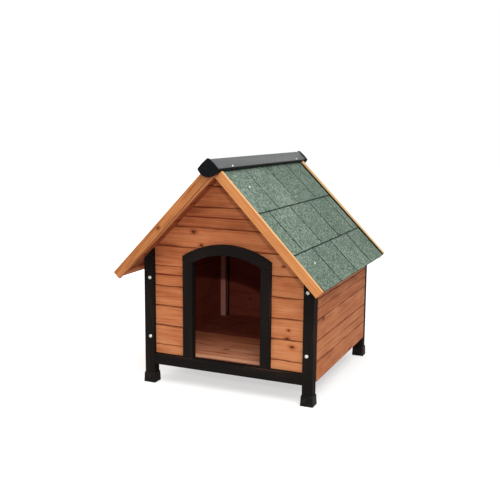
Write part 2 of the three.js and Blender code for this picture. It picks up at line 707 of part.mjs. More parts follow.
function bolt(side, height, label) {
  const head = BOLT_HEAD_HEIGHT + GAP;
  const dome = BOLT_HEAD_DOME.map(([out, down]) => [out * BOLT_HEAD_RADIUS, down * BOLT_HEAD_HEIGHT - head]);
  const profile = [
    [0, -head],
    ...dome,
    [BOLT_HEAD_RADIUS, -GAP],
    [BOLT_SHANK_RADIUS, -GAP],
    [BOLT_SHANK_RADIUS, BOLT_LENGTH],
    [0, BOLT_LENGTH],
  ].map(([radius, along]) => new THREE.Vector2(radius, along));
  const turned = new THREE.LatheGeometry(profile, BOLT_SEGMENTS);
  const made = mesh(`front_${sideName(side)}_${label}_bolt`, ZINC, turned);
  made.position.set(side * BOLT_X, FRONT, height);
  return made;
}

for (const side of BOTH_SIDES) {
  dogHouse.add(bolt(side, BOLT_HEIGHTS[0], "lower"), bolt(side, BOLT_HEIGHTS[1], "upper"));
}

export default dogHouse;
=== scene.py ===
import math
import random

import bmesh
import bpy
from mathutils import Matrix, Vector, noise


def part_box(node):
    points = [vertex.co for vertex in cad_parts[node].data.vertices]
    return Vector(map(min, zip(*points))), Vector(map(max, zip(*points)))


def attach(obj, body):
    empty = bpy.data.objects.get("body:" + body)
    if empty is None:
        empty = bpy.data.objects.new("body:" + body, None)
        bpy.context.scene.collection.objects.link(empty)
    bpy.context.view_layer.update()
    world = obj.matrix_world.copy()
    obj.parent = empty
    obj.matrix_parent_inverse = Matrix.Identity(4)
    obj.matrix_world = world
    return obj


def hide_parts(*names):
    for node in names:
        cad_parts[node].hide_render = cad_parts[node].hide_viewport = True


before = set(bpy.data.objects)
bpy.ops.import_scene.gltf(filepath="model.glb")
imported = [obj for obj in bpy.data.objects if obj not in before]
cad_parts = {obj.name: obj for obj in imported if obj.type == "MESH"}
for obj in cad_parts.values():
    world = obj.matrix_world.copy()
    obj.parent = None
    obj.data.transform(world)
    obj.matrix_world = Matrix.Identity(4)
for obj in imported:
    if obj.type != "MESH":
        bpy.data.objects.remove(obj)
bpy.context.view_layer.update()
scene = bpy.context.scene
scene.view_settings.view_transform = "Standard"


# ---- Corner posts ----
# Four square softwood posts, planed, with their tops sawn to the pitch of the roof. They are dipped in black
# paint, thin enough to leave the grain readable, and the walls are nailed and bolted between them.

MM = 0.001
X, Y, Z = Vector((1, 0, 0)), Vector((0, 1, 0)), Vector((0, 0, 1))
ENDS = ("front", "rear")
SIDES = ("left", "right")
PAINTED_ARRIS = 1.2 * MM
MERGED_WITHIN = 0.01 * MM
FLAT = math.radians(0.5)  # triangles that meet at less than this are one face
SHARP = math.radians(30)  # faces that meet at more than this have an arris to ease
FACING = 0.6  # least cosine between a face's normal and the direction that it counts as facing
LOG_LENGTH = 4.0  # metres of log that boards are sawn from
PITH_ASIDE, PITH_BELOW = (-40, 40), (15, 50)  # millimetres to the log's pith from a board's middle and back
TONE_SPREAD = 0.5  # how much one board's stain differs from the next
KNOTS_MARKED = 2  # the most knots that one board's stain is told of
FAR_AWAY = Vector((99, 99, 99))
GRAIN_RELIEF = 0.25 * MM  # of planed softwood, under any coat
PAINTED_GRAIN = {  # each one's length along the grain, and width across it
    "fibre": (71.43 * MM, 2.381 * MM),
    "patch": (166.67 * MM, 40 * MM),
}


def linear(colour):
    """An sRGB hex colour as linear RGBA."""
    channels = [int(colour[i:i + 2], 16) / 255 for i in (1, 3, 5)]
    return [c / 12.92 if c <= 0.04045 else ((c + 0.055) / 1.055) ** 2.4 for c in channels] + [1.0]


def add(tree, kind, inputs=(), stops=(), **settings):
    """Adds a shader node with its settings, inputs and colour stops. A node given as an input gives its first
    output."""
    made = tree.nodes.new("ShaderNode" + kind)
    for name, value in settings.items():
        setattr(made, name, value)
    for key, value in inputs.items() if isinstance(inputs, dict) else enumerate(inputs):
        source = value.outputs[0] if isinstance(value, bpy.types.Node) else value
        if isinstance(source, bpy.types.NodeSocket):
            tree.links.new(source, made.inputs[key])
        else:
            made.inputs[key].default_value = source
    for number, (place, colour) in enumerate(stops):
        if number >= len(made.color_ramp.elements):
            made.color_ramp.elements.new(place)
        made.color_ramp.elements[number].position = place
        made.color_ramp.elements[number].color = linear(colour)
    return made


def new_material(name, paint, *colours):
    """A material that paint makes on its node tree, from these colours."""
    material = bpy.data.materials.new(name)
    material.use_nodes = True
    tree = material.node_tree
    tree.nodes.clear()
    add(tree, "OutputMaterial", {"Surface": paint(tree, *colours)})
    return material


def whole_shape(node):
    """A CAD node's shape as a bmesh, its loose triangles merged into whole faces."""
    shape = bmesh.new()
    shape.from_mesh(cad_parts[node].data)
    bmesh.ops.remove_doubles(shape, verts=shape.verts, dist=MERGED_WITHIN)
    bmesh.ops.dissolve_limit(shape, angle_limit=FLAT, verts=shape.verts, edges=shape.edges)
    return shape


def ease_arrises(shape, width, segments=2):
    """Takes the sharpness off every arris, and marks the narrow faces that this leaves, for wear."""
    mark = shape.faces.layers.float.new("arris")
    arrises = [e for e in shape.edges if e.is_manifold and e.calc_face_angle() > SHARP]
    eased = bmesh.ops.bevel(
        shape, geom=arrises, offset=width, offset_type="OFFSET", segments=segments,
        profile=0.5, affect="EDGES", material=-1, clamp_overlap=True,
    )
    for face in eased["faces"]:
        face[mark] = 1.0


def reach(shape, direction, past=0.0):
    """The least and the greatest place of a shape along a direction, each moved out by past."""
    places = [vert.co.dot(direction) for vert in shape.verts]
    return min(places) - past, max(places) + past


def saw_from_log(shape, along, across, seed, span=None, tone=0.0, knots=(), heart=None, worn_and_lit=0.0):
    """Marks each point with the place in the log that it was sawn from, for the grain, knots and stain.

    along is the grain's direction and across the board's width. The stain pools at the two ends of span, or
    else at the board's edges. A knot is a place and a radius, heart is where across the board its dark pith
    line runs, and the last argument says how far the board's first edge is made paler: partly wear, and
    partly painted light."""
    luck = random.Random(seed)
    depth = along.cross(across)
    low, high = span or reach(shape, across)
    back = reach(shape, depth)[0]
    log_end = luck.uniform(0, LOG_LENGTH)
    pith_aside = luck.uniform(*PITH_ASIDE) * MM
    pith_below = luck.uniform(*PITH_BELOW) * MM
    own_tone = tone + luck.uniform(-TONE_SPREAD, TONE_SPREAD)

    def in_log(point):
        aside = pith_aside + point.dot(across) - (low + high) / 2
        return Vector((log_end + point.dot(along), aside, pith_below + point.dot(depth) - back))

    marked = [*knots, *[(FAR_AWAY, MM)] * KNOTS_MARKED][:KNOTS_MARKED]
    knot_marks = []
    for number, (place, radius) in enumerate(marked, 1):
        layer = shape.verts.layers.float_vector.new(f"knot_{number}")
        centre = in_log(place)
        knot_marks.append((layer, (centre.x, centre.y, radius)))
    log_layer = shape.verts.layers.float_vector.new("log_place")
    edge_layer = shape.verts.layers.float.new("edge_place")
    heart_layer = shape.verts.layers.float.new("heart_place")
    tone_layer = shape.verts.layers.float.new("board_tone")
    worn_and_lit_layer = shape.verts.layers.float.new("worn_and_lit")
    for vert in shape.verts:
        place = vert.co.dot(across)
        vert[log_layer] = in_log(vert.co)
        vert[edge_layer] = (2 * place - low - high) / (high - low)
        vert[heart_layer] = 1.0 if heart is None else place - heart
        vert[tone_layer] = own_tone
        vert[worn_and_lit_layer] = worn_and_lit
        for layer, mark in knot_marks:
            vert[layer] = mark
    end_layer = shape.faces.layers.float.new("end_grain")
    for face in shape.faces:
        face[end_layer] = float(abs(face.normal.dot(along)) > FACING)


def add_piece(name, shape, materials, body, replaced=()):
    """Makes the piece from its shape, and says what it rides on and which CAD nodes it stands for."""
    mesh = bpy.data.meshes.new(name)
    shape.to_mesh(mesh)
    shape.free()
    for material in materials:
        mesh.materials.append(material)
    piece = bpy.data.objects.new(name, mesh)
    scene.collection.objects.link(piece)
    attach(piece, body)
    if replaced:
        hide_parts(*replaced)
    return piece


def black_paint(tree):
    """Black paint over planed softwood: warm, nearly black and satin, with the grain as faint relief under it
    and the brown wood just showing through along a few arrises."""
    log = add(tree, "Attribute", attribute_name="log_place").outputs["Vector"]
    arris = add(tree, "Attribute", attribute_name="arris").outputs["Fac"]
    grain = {}
    for name, (length, width) in PAINTED_GRAIN.items():
        place = add(tree, "VectorMath", [log, (1 / length, 1 / width, 1 / width)], operation="MULTIPLY")
        grain[name] = add(tree, "TexNoise", {"Vector": place, "Scale": 1, "Detail": 4})
    fibre = grain["fibre"]
    thin = add(tree, "Math", [fibre, grain["patch"]], operation="ADD")
    paint = add(
        tree, "ValToRGB", [add(tree, "Math", [thin, 0.5], operation="MULTIPLY")],
        stops=[(0.32, "#0f0c0b"), (0.5, "#16110f"), (0.68, "#241b17")],
    )
    rubbed = add(tree, "MapRange", [thin, 1.02, 1.25, 0, 0.7])
    bare = add(tree, "Math", [rubbed, arris], operation="MULTIPLY")
    colour = add(tree, "MixRGB", [bare, paint, linear("#5d3d28")])
    return add(tree, "BsdfPrincipled", {
        "Base Color": colour,
        "Roughness": add(tree, "MapRange", [fibre, 0.3, 0.7, 0.62, 0.78]),
        "Normal": add(tree, "Bump", {"Height": fibre, "Strength": 0.35, "Distance": GRAIN_RELIEF}),
        "Specular IOR Level": 0.1,
    })


BLACK_PAINT = new_material("satin_black_paint_on_planed_softwood", black_paint)


def painted_timber(node, along, across):
    """A CAD timber with eased arrises, in black paint."""
    shape = whole_shape(node)
    ease_arrises(shape, PAINTED_ARRIS)
    saw_from_log(shape, along, across, node)
    add_piece(f"{node}_timber", shape, [BLACK_PAINT], "house", [node])


for end in ENDS:
    for side in SIDES:
        painted_timber(f"{end}_{side}_post", Z, X)


# ---- Foot caps ----
# Cups of black polypropylene, pushed on the ends of the posts to keep them off wet ground. The mould leaves
# soft corners and a fine matt grain, and the ground scuffs them.

FOOT_ARRIS = 1.6 * MM
MOULD_GRAIN, SCUFF = 1.1 * MM, 16 * MM  # the grain is finer on the real caps, and would not show


def moulded_plastic(tree, dark, scuffed):
    """Injection-moulded black plastic: a fine spark-eroded grain dulls its shine, and it has a few pale
    scuffs."""
    place = add(tree, "TexCoord").outputs["Object"]
    grain = add(tree, "TexNoise", {"Vector": place, "Scale": 1 / MOULD_GRAIN, "Detail": 2})
    scuff = add(tree, "TexNoise", {"Vector": place, "Scale": 1 / SCUFF, "Detail": 6, "Roughness": 0.7})
    return add(tree, "BsdfPrincipled", {
        "Base Color": add(tree, "ValToRGB", [scuff], stops=[(0.48, dark), (0.72, scuffed)]),
        "Roughness": add(tree, "MapRange", [scuff, 0.35, 0.7, 0.42, 0.6]),
        "Normal": add(tree, "Bump", {"Height": grain, "Strength": 0.3, "Distance": 0.1 * MM}),
        "Specular IOR Level": 0.1,
    })


FOOT_PLASTIC = new_material("moulded_black_polypropylene", moulded_plastic, "#161312", "#35302c")

for end in ENDS:
    for side in SIDES:
        node = f"{end}_{side}_foot_cap"
        shape = whole_shape(node)
        ease_arrises(shape, FOOT_ARRIS, segments=3)
        add_piece(f"{node}_moulding", shape, [FOOT_PLASTIC], "house", [node])


# ---- Bottom rails ----
# A black painted rail joins the two posts of each end, flush with their faces. The wall boards and the
# door frame stand on it.

for end in ENDS:
    painted_timber(f"{end}_bottom_rail", X, Z)


# ---- Door frame ----
# Two straight jambs and a head sawn to an arch, rebated behind so that they lap over the cut ends of the
# boards. They are painted black before they are nailed on.

for side in SIDES:
    painted_timber(f"door_{side}_jamb", Z, X)
painted_timber("door_arched_head", X, Z)


# ---- Front wall boards ----
# Tongue-and-groove fir boards with a V joint, nailed across between the posts. A thin orange-brown stain lets
# the growth rings and the knots show, gathers along the joints, and sinks in deeper where the wood is soft.

BOARD_ARRIS = 0.7 * MM
TONGUE = 5 * MM
RING_WIDTH = 4.4 * MM  # from one year's late wood to the next
RING_WAVER = 0.7 * MM
LOG_TAPER = 1 / 55
GRAIN_PATTERNS = {  # each one's length along the grain, width across it, and detail
    "wander": (400 * MM, 90 * MM, 1),
    "streak": (210 * MM, 8 * MM, 2),
    "fibre": (60 * MM, 1.5 * MM, 3),
    "blotch": (110 * MM, 45 * MM, 3),
    "ragged": (5 * MM, 3 * MM, 2),
}
GRAIN_WANDER = 7 * MM  # how far the grain strays from straight
HEART_WOBBLE = 2 * MM
HEART_LINE = (0.6 * MM, 2.4 * MM)  # from its middle to where it is darkest, and to where it ends
KNOT_COLOURS = ((0.0, "#6a351c"), (0.45, "#532611"), (0.62, "#2a1209"))  # from its middle out to its bark
POOLED_STAIN = "#6b2b11"
STAIN_DEPTHS = (0.1, 0.5, 0.95)  # at which a fir has its pale, middle and deep colour
FIRST_DEPTH = -0.16


def stained_fir(tree, pale, middle, deep):
    """Fir under a translucent stain: late wood, knots and the pith stay dark, end grain drinks most stain,
    and eased arrises are rubbed paler. Satin, with the harder late wood standing up a little."""
    log = add(tree, "Attribute", attribute_name="log_place").outputs["Vector"]
    edge = add(tree, "Attribute", attribute_name="edge_place").outputs["Fac"]
    heart = add(tree, "Attribute", attribute_name="heart_place").outputs["Fac"]
    tone = add(tree, "Attribute", attribute_name="board_tone").outputs["Fac"]
    end_grain = add(tree, "Attribute", attribute_name="end_grain").outputs["Fac"]
    arris = add(tree, "Attribute", attribute_name="arris").outputs["Fac"]
    worn_and_lit = add(tree, "Attribute", attribute_name="worn_and_lit").outputs["Fac"]
    grain = {}
    for name, (length, width, detail) in GRAIN_PATTERNS.items():
        place = add(tree, "VectorMath", [log, (1 / length, 1 / width, 1 / width)], operation="MULTIPLY")
        grain[name] = add(tree, "TexNoise", {"Vector": place, "Scale": 1, "Detail": detail})

    # The grain flows round a knot as water does round a stone, so the wood beside it comes from nearer to it.
    in_log = add(tree, "SeparateXYZ", [log])
    wander = add(tree, "MapRange", [grain["wander"], 0.3, 0.7, -GRAIN_WANDER, GRAIN_WANDER])
    aside = add(tree, "Math", [in_log.outputs["Y"], wander], operation="ADD")
    nearest_knot = 99.0  # in that knot's radii, and far from any to begin with
    for number in range(1, KNOTS_MARKED + 1):
        knot = add(tree, "Attribute", attribute_name=f"knot_{number}").outputs["Vector"]
        radius = add(tree, "SeparateXYZ", [knot]).outputs["Z"]
        apart = add(tree, "VectorMath", [log, knot], operation="SUBTRACT")
        oval = add(tree, "VectorMath", [apart, (0.6, 1, 0)], operation="MULTIPLY")
        distance = add(tree, "VectorMath", [oval], operation="LENGTH").outputs["Value"]
        radii_away = add(tree, "Math", [distance, radius], operation="DIVIDE")
        pushed = add(tree, "Math", [radii_away, -2.0], operation="POWER")
        pushed = add(tree, "Math", [pushed, 1.0], operation="MINIMUM")
        across = add(tree, "SeparateXYZ", [apart]).outputs["Y"]
        push = add(tree, "Math", [across, pushed], operation="MULTIPLY")
        aside = add(tree, "Math", [aside, push], operation="SUBTRACT")
        nearest_knot = add(tree, "Math", [radii_away, nearest_knot], operation="MINIMUM")

    from_pith = add(tree, "CombineXYZ", [aside, in_log.outputs["Z"]])
    from_pith = add(tree, "VectorMath", [from_pith], operation="LENGTH").outputs["Value"]
    tapered = add(tree, "Math", [in_log.outputs["X"], LOG_TAPER, from_pith], operation="MULTIPLY_ADD")
    rough_ring = add(tree, "Math", [grain["fibre"], RING_WAVER, tapered], operation="MULTIPLY_ADD")
    years = add(tree, "Math", [rough_ring, RING_WIDTH], operation="DIVIDE")
    year = add(tree, "Math", [years], operation="FRACT")
    late_wood = add(
        tree, "ValToRGB", [year],
        stops=[(0, "#404040"), (0.12, "#000000"), (0.5, "#303030"), (0.84, "#ffffff"), (0.96, "#c0c0c0")],
    )

    ragged = add(tree, "MapRange", [grain["ragged"], 0.3, 0.7, -0.3, 0.3])
    knot_place = add(tree, "Math", [nearest_knot, ragged], operation="ADD")
    round_knot = add(tree, "MapRange", [knot_place, 0.8, 4.0, 1, 0], interpolation_type="SMOOTHSTEP")
    heart_wobble = add(tree, "MapRange", [grain["streak"], 0.3, 0.7, -HEART_WOBBLE, HEART_WOBBLE])
    off_heart = add(tree, "Math", [heart, heart_wobble], operation="ADD")
    off_heart = add(tree, "Math", [off_heart], operation="ABSOLUTE")
    on_heart = add(tree, "MapRange", [off_heart, *HEART_LINE, 1, 0], interpolation_type="SMOOTHSTEP")
    # A board's first edge can be made paler: partly wear, and partly painted light.
    near_edge = add(tree, "MapRange", [edge, -1, 0.2, 1, 0], interpolation_type="SMOOTHERSTEP")
    trodden_and_lit = add(tree, "Math", [near_edge, worn_and_lit], operation="MULTIPLY")
    depth = FIRST_DEPTH
    for value, share in (
        (late_wood, 0.12), (grain["streak"], 0.46), (grain["fibre"], 0.2), (grain["blotch"], 0.5),
        (round_knot, 0.3), (on_heart, 0.45), (tone, 0.07), (end_grain, 0.4), (arris, -0.12), (trodden_and_lit, -0.7),
    ):
        depth = add(tree, "Math", [value, share, depth], operation="MULTIPLY_ADD")
    stain = add(tree, "ValToRGB", [depth], stops=zip(STAIN_DEPTHS, (pale, middle, deep)))

    knot_rings = add(tree, "Math", [knot_place, 0.7], operation="MULTIPLY")
    knot_colour = add(tree, "ValToRGB", [knot_rings], stops=KNOT_COLOURS)
    in_knot = add(tree, "MapRange", [knot_place, 0.95, 1.35, 0.9, 0], interpolation_type="SMOOTHSTEP")
    knotted = add(tree, "MixRGB", [in_knot, stain, knot_colour])

    from_middle = add(tree, "Math", [edge], operation="ABSOLUTE")
    uneven = add(tree, "MapRange", [grain["blotch"], 0.3, 0.7, -0.07, 0.07])
    from_middle = add(tree, "Math", [from_middle, uneven], operation="ADD")
    pooled = add(tree, "MapRange", [from_middle, 0.87, 1.01, 0, 0.8], interpolation_type="SMOOTHSTEP")
    height = add(tree, "Math", [late_wood, 0.6, grain["fibre"]], operation="MULTIPLY_ADD")
    return add(tree, "BsdfPrincipled", {
        "Base Color": add(tree, "MixRGB", [pooled, knotted, linear(POOLED_STAIN)]),
        "Roughness": add(tree, "MapRange", [grain["fibre"], 0.3, 0.7, 0.5, 0.66]),
        "Normal": add(tree, "Bump", {"Height": height, "Strength": 0.35, "Distance": GRAIN_RELIEF}),
        "Specular IOR Level": 0.1,
    })


WALL_FIR = new_material("orange_brown_stained_planed_fir", stained_fir, "#dc9a69", "#c17348", "#742f19")
# The inside faces and undersides are made much deeper and redder: painted shade for the dark inside of the
# house and under the floor.
INSIDE_SHADED_FIR = new_material("rough_sawn_fir_painted_shade", stained_fir, "#904535", "#803a2c", "#502018")


def second_material_towards(shape, *directions):
    """Gives the faces towards these directions the piece's second material. On a wall or floor board these
    are its rough-sawn back, made much deeper and redder as painted shade for the dark inside; on a barge
    board they are its sawn edges, made paler partly as bare wood and partly as painted highlight."""
    for face in shape.faces:
        face.material_index = int(any(face.normal.dot(direction) > FACING for direction in directions))


WALL_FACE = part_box("front_board_2_left")[0].y
FRONT_KNOTS = {  # x, z and radius, in millimetres
    "front_board_7": [(-120, 526, 3.6), (-92, 484, 3.0)],
    "front_board_6_right": [(193, 437, 2.4)],
    "front_board_3_right": [(213, 235, 2.4), (209, 207, 3.0)],
    "front_board_2_right": [(226, 182, 3.6)],
}
FRONT_HEARTS = {"front_board_5_left": 376 * MM, "front_board_8": 576 * MM}
# Each board's stain tone, larger is deeper. Besides real differences between boards, the upper boards are
# made deeper as painted shade under the roof's overhang, and the lowest paler as painted light.
FRONT_TONES_AND_SHADE = {
    "front_board_1_left": -1, "front_board_1_right": -1.5, "front_board_2_right": -0.5,
    "front_board_4_left": 1, "front_board_5_left": 1.5, "front_board_6_left": 2,
    "front_board_7": 1, "front_board_8": 2.5, "front_board_9": 1,
}
for node in sorted(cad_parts):
    if not node.startswith("front_board"):
        continue
    low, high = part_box(node)
    top = high.z if node == "front_board_10" else high.z - TONGUE
    own_knots = FRONT_KNOTS.get(node, [])
    knots = [(Vector((x * MM, WALL_FACE, z * MM)), radius * MM) for x, z, radius in own_knots]
    shape = whole_shape(node)
    ease_arrises(shape, BOARD_ARRIS)
    second_material_towards(shape, Y)
    tone = FRONT_TONES_AND_SHADE.get(node, 0)
    saw_from_log(shape, X, Z, node, (low.z, top), tone, knots, FRONT_HEARTS.get(node))
    add_piece(f"{node}_fir", shape, [WALL_FIR, INSIDE_SHADED_FIR], "house", [node])


# ---- Rear wall and side wall boards ----
# The same boards, nailed across the posts behind and along hidden battens at the sides, where they stand a
# little proud of the posts. Each is a board of its own, with a hair's gap at the joint.

JOINT_GAP = 0.04 * MM  # parts the boards, and lets no light through
CUT_WITHIN = 0.001 * MM
SIDE_FIRST_JOINT = 137 * MM
KNOTS_IN_A_BOARD = (0, 0, 1, 1, 2)
KNOT_RADII = (2 * MM, 4 * MM)
HEART_CHANCE = 0.15

over_door = [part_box(f"front_board_{course}")[0].z for course in (7, 8, 9, 10)]
COURSE = (over_door[-1] - over_door[0]) / 3
end_joints = [over_door[0] - COURSE * number for number in range(5, 0, -1)] + over_door


def part_of(node, *spans):
    """The part of a CAD node between two places along each of some directions, with its cut faces closed."""
    shape = whole_shape(node)
    for direction, low, high in spans:
        for place, outward in ((low, -direction), (high, direction)):
            cut = bmesh.ops.bisect_plane(
                shape, geom=[*shape.verts, *shape.edges, *shape.faces], dist=CUT_WITHIN,
                plane_co=direction * place, plane_no=outward, clear_outer=True,
            )
            rim = [piece for piece in cut["geom_cut"] if isinstance(piece, bmesh.types.BMEdge)]
            bmesh.ops.edgeloop_fill(shape, edges=rim)
    bmesh.ops.recalc_face_normals(shape, faces=shape.faces)
    return shape


def lay_boards(node, name, joints, across, along, inward, materials, body="house", cuts=(), own=None):
    """Parts a joined CAD panel into its boards at the joints. own gives some boards their tone, knots or
    heart."""
    places = [vert.co.dot(across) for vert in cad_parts[node].data.vertices]
    edges = [min(places) - JOINT_GAP, *joints, max(places) + JOINT_GAP]
    for number, (start, stop) in enumerate(zip(edges, edges[1:]), 1):
        board = f"{name}_{number}"
        luck = random.Random(board)
        shape = part_of(node, *cuts, (across, start + JOINT_GAP / 2, stop - JOINT_GAP / 2))
        ease_arrises(shape, BOARD_ARRIS)
        second_material_towards(shape, inward)
        knots = [
            (Vector([luck.uniform(*reach(shape, axis)) for axis in (X, Y, Z)]), luck.uniform(*KNOT_RADII))
            for _ in range(luck.choice(KNOTS_IN_A_BOARD))
        ]
        heart = luck.uniform(start, stop) if luck.random() < HEART_CHANCE else None
        looks = {"knots": knots, "heart": heart} | (own or {}).get(number, {})
        saw_from_log(shape, along, across, board, (start, stop), **looks)
        add_piece(board, shape, materials, body, [node])


lay_boards("rear_wall_boards", "rear_board", end_joints, Z, X, -Y, [WALL_FIR, INSIDE_SHADED_FIR])

for side, inward in zip(SIDES, (X, -X)):
    node = f"{side}_wall_boards"
    low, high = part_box(node)
    joints = [SIDE_FIRST_JOINT + COURSE * number for number in range(5)]
    own = {}
    if side == "right":
        own = {
            2: {"knots": [], "heart": 169 * MM},
            3: {"knots": [(Vector((high.x, -185 * MM, 268 * MM)), 3.4 * MM)]},
            4: {"knots": [], "heart": 310 * MM, "tone": 1.5},
        }
    lay_boards(node, f"{side}_board", joints, Z, Y, inward, [WALL_FIR, INSIDE_SHADED_FIR], own=own)


# ---- Battens, ledgers and rafters ----
# Square fir battens inside the corners and behind the gables take the bolts, nails and roof screws, and two
# more along the side walls carry the floor. They are planed on all sides and take the stain lightly.

BATTEN_ARRIS = 0.9 * MM
BATTEN_FIR = new_material("light_stained_planed_fir", stained_fir, "#d59d8a", "#c28272", "#865043")
down_slope = {side: Vector((sign, 0, -1)).normalized() for side, sign in zip(SIDES, (-1, 1))}
out_of_slope = {side: Vector((sign, 0, 1)).normalized() for side, sign in zip(SIDES, (-1, 1))}

for side in SIDES:
    battens = [(f"{end}_{side}_corner_batten", Z, X) for end in ENDS]
    battens += [(f"{end}_{side}_rafter", down_slope[side], Y) for end in ENDS]
    battens.append((f"{side}_floor_ledger", Y, Z))
    for node, along, across in battens:
        shape = whole_shape(node)
        ease_arrises(shape, BATTEN_ARRIS)
        saw_from_log(shape, along, across, node)
        add_piece(f"{node}_fir", shape, [BATTEN_FIR], "house", [node])


# ---- Floor panels ----
# Two loose panels, each of four stained fir boards nailed to two cleats. They lie on the ledgers and lift
# out for cleaning, so each rides on a body of its own.

# The rear panel's fir is much deeper and redder: painted shade for the dark back of the house.
FLOOR_FIR = {
    "front": new_material("stained_planed_fir_flooring", stained_fir, "#e2a482", "#bf704c", "#763522"),
    "rear": new_material("deep_stained_planed_fir_flooring", stained_fir, "#a2573f", "#8a4231", "#561f15"),
}
FLOOR_KNOT = (Vector((-62, -134, 103)) * MM, 3.4 * MM)
# The front panel's boards are paler at the doorway and deeper further in, as painted light and shade, and the
# first one's front edge is worn and painted paler.
FRONT_FLOOR_LOOKS_AND_LIGHT = {
    1: {"tone": -1, "worn_and_lit": 1, "knots": []},
    2: {"tone": -1, "knots": [FLOOR_KNOT]},
    3: {"tone": 0.5, "knots": []},
    4: {"tone": 1.2, "knots": []},
}
FLOOR_THICKNESS = 12 * MM
FLOOR_BOARDS = 4
ABOVE_ALL = 1.0  # a height past everything
HAIR = 0.02 * MM  # kept off a plane where one piece lies on another

for end in ENDS:
    node = f"{end}_floor_panel"
    low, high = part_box(node)
    underside = high.z - FLOOR_THICKNESS
    width = (high.y - low.y) / FLOOR_BOARDS
    joints = [low.y + width * number for number in range(1, FLOOR_BOARDS)]
    body = f"{end}_floor"
    lay_boards(
        node, f"{end}_floor_board", joints, Y, X, -Z, [FLOOR_FIR[end], INSIDE_SHADED_FIR],
        body, [(Z, underside + HAIR, ABOVE_ALL)], FRONT_FLOOR_LOOKS_AND_LIGHT if end == "front" else {},
    )
    for side, half in zip(SIDES, ((-1, 0), (0, 1))):
        cleat = f"{end}_floor_{side}_cleat"
        shape = part_of(node, (Z, -ABOVE_ALL, underside - HAIR), (X, *half))
        ease_arrises(shape, BATTEN_ARRIS)
        saw_from_log(shape, Y, Z, cleat)
        add_piece(cleat, shape, [BATTEN_FIR], body, [node])


# ---- Roof boards ----
# Each slope is a deck of fir boards laid along the house, V jointed underneath and screwed down on the
# rafters. Battens under its front and eave edges stiffen it. Only the rough undersides are seen, from below.

ROOF_BOARD = 84 * MM
ROOF_BOARD_THICKNESS = 12 * MM
EDGE_BATTEN_WIDTH = 18 * MM
# Negative is paler: both battens are made paler than their stain, as painted light where they sit in shade
# under the roof.
EDGE_BATTEN_TONES_AND_LIGHT = {"verge": -3, "eave": -1}
BRUSHED_PAST = EDGE_BATTEN_WIDTH / 2  # their stain is wiped on past their edges, and doesn't pool there
# The roof boards' undersides are deeper and redder than the walls: painted shade under the roof.
UNDER_ROOF_SHADED_FIR = new_material("roof_underside_fir_painted_shade", stained_fir, "#b8683f", "#a35431", "#6d2f1b")

for side in SIDES:
    node = f"{side}_roof_boards"
    down, out = down_slope[side], out_of_slope[side]
    corners = [v.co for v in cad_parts[node].data.vertices]
    eave = max(corner.dot(down) for corner in corners)
    underside = max(corner.dot(out) for corner in corners) - ROOF_BOARD_THICKNESS
    joints = [eave - ROOF_BOARD * number for number in range(5, 0, -1)]
    fir = [WALL_FIR, UNDER_ROOF_SHADED_FIR]
    cuts = [(out, underside + HAIR, ABOVE_ALL)]
    lay_boards(node, f"{side}_roof_board", joints, down, Y, -out, fir, cuts=cuts)
    eave_batten = eave - EDGE_BATTEN_WIDTH
    for name, span, along, across in (
        ("verge", (-ABOVE_ALL, eave_batten - HAIR), down, Y),
        ("eave", (eave_batten + HAIR, ABOVE_ALL), Y, down),
    ):
        shape = part_of(node, (out, -ABOVE_ALL, underside - HAIR), (down, *span))
        ease_arrises(shape, BATTEN_ARRIS)
        stained = reach(shape, across, BRUSHED_PAST)
        saw_from_log(shape, along, across, f"{side}_{name}_batten", stained, EDGE_BATTEN_TONES_AND_LIGHT[name])
        add_piece(f"{side}_{name}_batten", shape, [WALL_FIR], "house", [node])


# ---- Barge boards ----
# Planed fir boards nailed over the ends of the roof boards, proud of the felt at the ridge. They take a
# thinner coat than the walls, so they look paler. Their sawn top edges and, on the rear ones, the side
# towards the felt are much paler again: partly bare wood, and partly painted highlight where the light
# strikes them.

BARGE_ARRIS = 1 * MM
BARGE_FIR = new_material("thin_stained_planed_fir", stained_fir, "#d69862", "#c4804c", "#884823")
# Paler fir for those edges: partly bare wood, partly painted highlight.
BARGE_EDGE_HIGHLIGHT_FIR = new_material("sawn_fir_edge_painted_highlight", stained_fir, "#e6c394", "#d9ac78", "#a06a3e")
BARGE_KNOT = (Vector((-189, -372, 547)) * MM, 2.4 * MM)
BARGE_TONES = {"front_left": 3, "front_right": 0.5}
BARGE_BRUSHED_PAST = 5 * MM

for end in ENDS:
    for side in SIDES:
        node = f"{end}_{side}_barge_board"
        knots = [BARGE_KNOT] if node == "front_left_barge_board" else []
        tone = BARGE_TONES.get(f"{end}_{side}", 0)
        shape = whole_shape(node)
        longest = max(shape.edges, key=lambda edge: edge.calc_length())
        along = (longest.verts[1].co - longest.verts[0].co).normalized()
        along *= math.copysign(1, along.dot(down_slope[side]))
        across = along.cross(Y) * math.copysign(1, along.cross(Y).dot(out_of_slope[side]))
        ease_arrises(shape, BARGE_ARRIS)
        second_material_towards(shape, across, *([-Y] if end == "rear" else []))
        saw_from_log(shape, along, across, node, reach(shape, across, BARGE_BRUSHED_PAST), tone, knots)
        add_piece(f"{node}_fir", shape, [BARGE_FIR, BARGE_EDGE_HIGHLIGHT_FIR], "house", [node])


# ---- Roof felt ----
# Bitumen shingles faced with grey-green mineral granules, in three courses that lap like slates. Each strip
# is slit into tabs, half a tab out of step with the next. Black underlay below them turns down at the eave
# and up against the rear barge boards. Where the underlay shows, in the slits, at the eave and against the
# barge boards, its black is partly painted shade, and a dark line under each lap is painted shadow.

